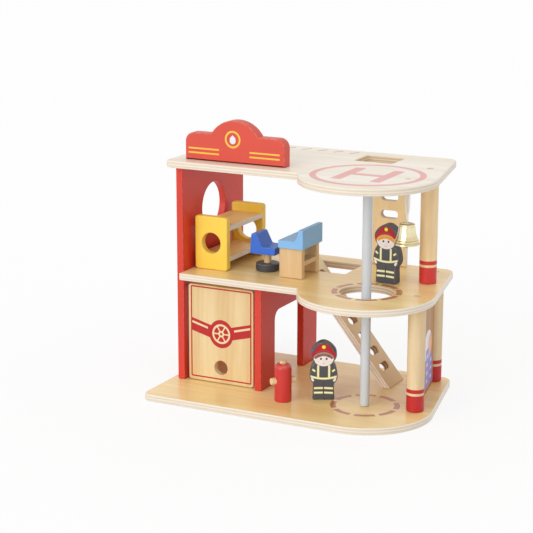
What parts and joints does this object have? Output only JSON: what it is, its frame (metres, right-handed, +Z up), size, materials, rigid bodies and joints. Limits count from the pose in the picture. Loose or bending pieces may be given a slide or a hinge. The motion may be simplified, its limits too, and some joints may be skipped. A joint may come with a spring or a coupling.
{
  "type": "toy fire station",
  "caption": "Open wooden toy fire station on two storeys: garage door, ladders, sliding pole, hanging bell, loose furniture, hydrant and flat figures.",
  "frame": {"origin": "middle of the bounding box, on the underside of the base plate", "axes": "+X right along the front, +Y from the front to the back, +Z up"},
  "size_m": [0.3578, 0.242, 0.3542],
  "materials": {
    "birch_ply": "clear satin varnish on light plywood",
    "pale_birch": "clear satin varnish on pale plywood",
    "red_wood": "satin red paint on plywood",
    "pine": "bare satin wood with red painted feet on the posts",
    "grey_wood": "satin grey paint on a wooden rod",
    "yellow_wood": "satin yellow paint",
    "blue_wood": "satin blue paint",
    "sky_wood": "satin light blue paint",
    "charcoal_wood": "satin dark grey paint with a printed face and clothes",
    "hydrant_red": "gloss red paint on turned wood",
    "bell_brass": "polished pale gold",
    "steel": "plain zinc-plated steel",
    "cotton": "twisted white cotton string"
  },
  "bodies": {
    "station": {"base_plate": "birch_ply", "middle_floor": "birch_ply", "upper_ladder": "birch_ply", "lower_ladder": "birch_ply", "roof_deck": "pale_birch", "left_wall": "red_wood", "garage_wall": "red_wood", "roof_sign": "red_wood", "lower_front_post": "pine", "lower_back_post": "pine", "upper_post": "pine", "poster_panel": "pine", "bell_peg": "pine", "floor_dowel_front": "pine", "floor_dowel_rear": "pine", "roof_dowel_front": "pine", "roof_dowel_rear": "pine", "sign_dowel_left": "pine", "sign_dowel_right": "pine", "plug_front_post": "pine", "plug_back_post": "pine", "plug_upper_post": "pine", "slide_pole": "grey_wood", "screw_left_wall_front": "steel", "screw_left_wall_rear": "steel", "screw_garage_wall_front": "steel", "screw_garage_wall_rear": "steel", "screw_front_post_foot": "steel", "screw_back_post_foot": "steel", "screw_pole_foot": "steel", "screw_front_post_top": "steel", "screw_back_post_top": "steel", "screw_upper_post_top": "steel", "screw_upper_post_foot": "steel"},
    "garage_door": {"garage_door": "pine", "door_pin_left": "steel", "door_pin_right": "steel"},
    "bell": {"bell_cup": "bell_brass", "bell_string": "cotton"},
    "clapper": {"bell_clapper": "bell_brass"},
    "bunk": {"bunk_front_panel": "yellow_wood", "bunk_back_panel": "yellow_wood", "bunk_lower_shelf": "birch_ply", "bunk_upper_shelf": "birch_ply"},
    "chair": {"chair_base": "charcoal_wood", "chair_stem": "pine", "chair_seat": "blue_wood"},
    "desk": {"desk_top": "sky_wood", "desk_front_panel": "pine", "desk_back_panel": "pine", "desk_shelf": "pine"},
    "hydrant": {"hydrant_body": "hydrant_red", "hydrant_cap": "pine", "hydrant_peg": "pine"},
    "lower_figure": {"figure_lower": "charcoal_wood"},
    "upper_figure": {"figure_upper": "charcoal_wood"}
  },
  "joints": [
    {"name": "garage_door_hinge", "type": "hinge", "parent": "station", "child": "garage_door", "pos_m": [-0.10795, -0.0355, 0.1342], "axis": [-1, 0, 0], "range_deg": [-90, 90]},
    {"name": "bell_swing", "type": "hinge", "parent": "station", "child": "bell", "pos_m": [0.1441, -0.0342, 0.2909], "axis": [1, 0, 0], "range_deg": [-30, 30]},
    {"name": "clapper_swing", "type": "hinge", "parent": "bell", "child": "clapper", "pos_m": [0.1441, -0.0342, 0.2438], "axis": [1, 0, 0], "range_deg": [-20, 20]},
    {"name": "bunk_lift_out", "type": "slide", "parent": "station", "child": "bunk", "axis": [0, -1, 0], "range_m": [0, 0.15]},
    {"name": "chair_lift_out", "type": "slide", "parent": "station", "child": "chair", "axis": [0, -1, 0], "range_m": [0, 0.095]},
    {"name": "desk_lift_out", "type": "slide", "parent": "station", "child": "desk", "axis": [0, -1, 0], "range_m": [0, 0.1]},
    {"name": "hydrant_lift_out", "type": "slide", "parent": "station", "child": "hydrant", "axis": [0, -1, 0], "range_m": [0, 0.08]},
    {"name": "lower_figure_lift_out", "type": "slide", "parent": "station", "child": "lower_figure", "axis": [0, -1, 0], "range_m": [0, 0.11]},
    {"name": "upper_figure_lift_out", "type": "slide", "parent": "station", "child": "upper_figure", "axis": [0.3, 0.9539, 0], "range_m": [0, 0.115]}
  ]
}
